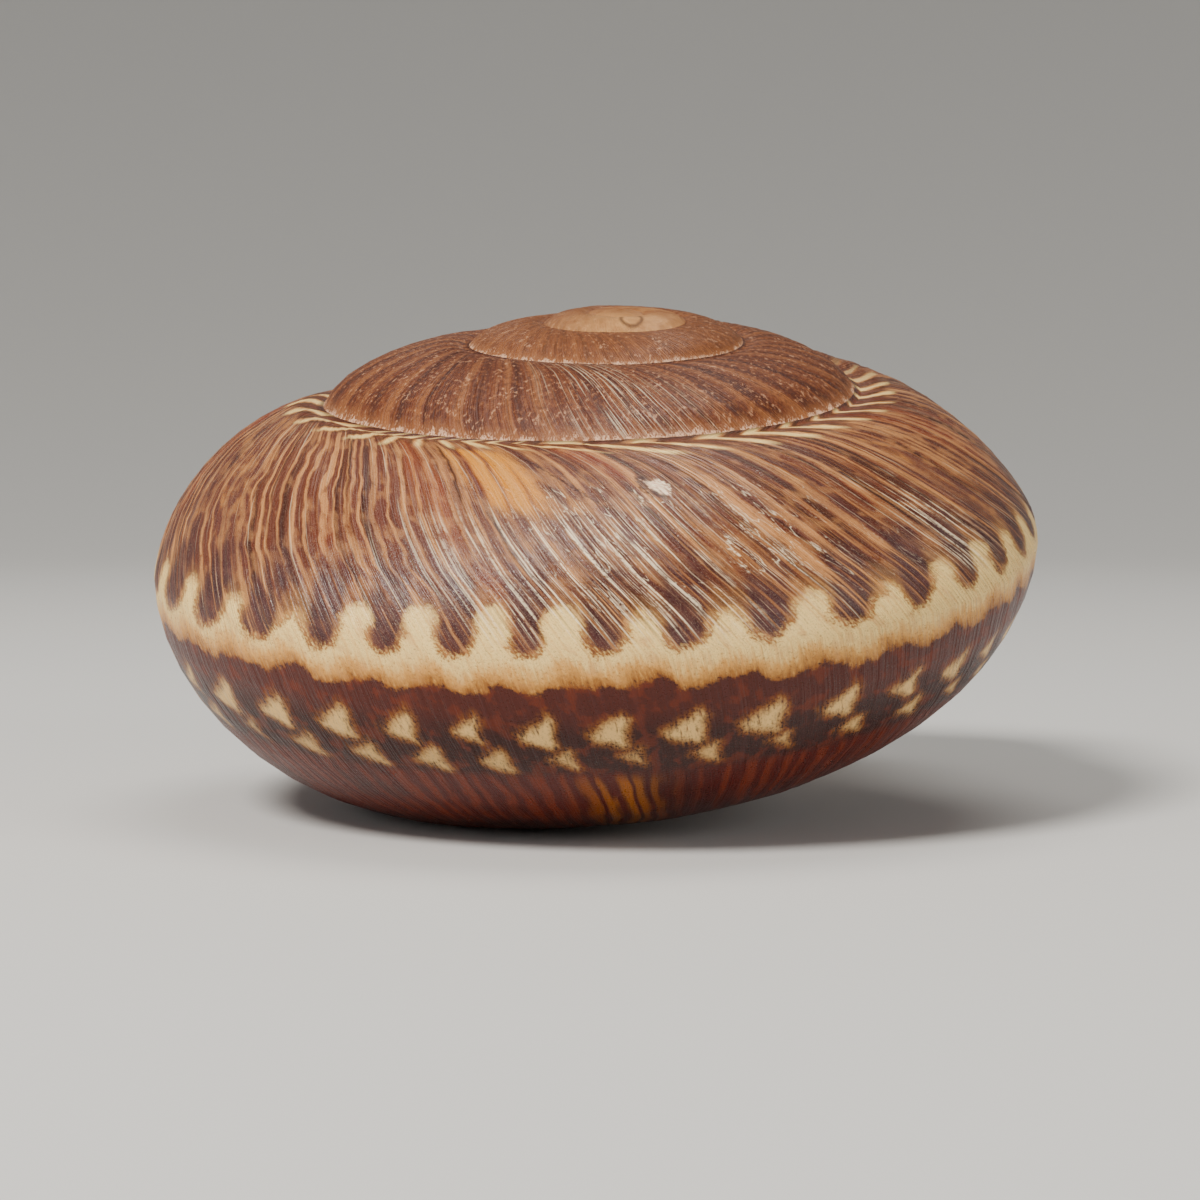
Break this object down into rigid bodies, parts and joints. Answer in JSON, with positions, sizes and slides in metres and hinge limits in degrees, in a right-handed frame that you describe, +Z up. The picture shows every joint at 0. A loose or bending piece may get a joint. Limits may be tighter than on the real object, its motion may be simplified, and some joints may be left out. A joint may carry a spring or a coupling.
{
  "type": "land snail shell",
  "caption": "Low right-handed land snail shell with a wide open mouth, a turned-out lip and a narrow umbilicus; hollow, and rests on its base and lip.",
  "frame": {"origin": "centre of the bounding box at the surface the shell rests on", "axes": "+Z up with the tip of the spire leaning a little towards -Y, +X to the right as the picture shows it, -Y towards its camera; the mouth is at the back and opens towards +X"},
  "size_m": [0.0534, 0.0564, 0.0307],
  "materials": {
    "shell": "gloss"
  },
  "bodies": {
    "root": {"shell": "shell"}
  },
  "joints": []
}
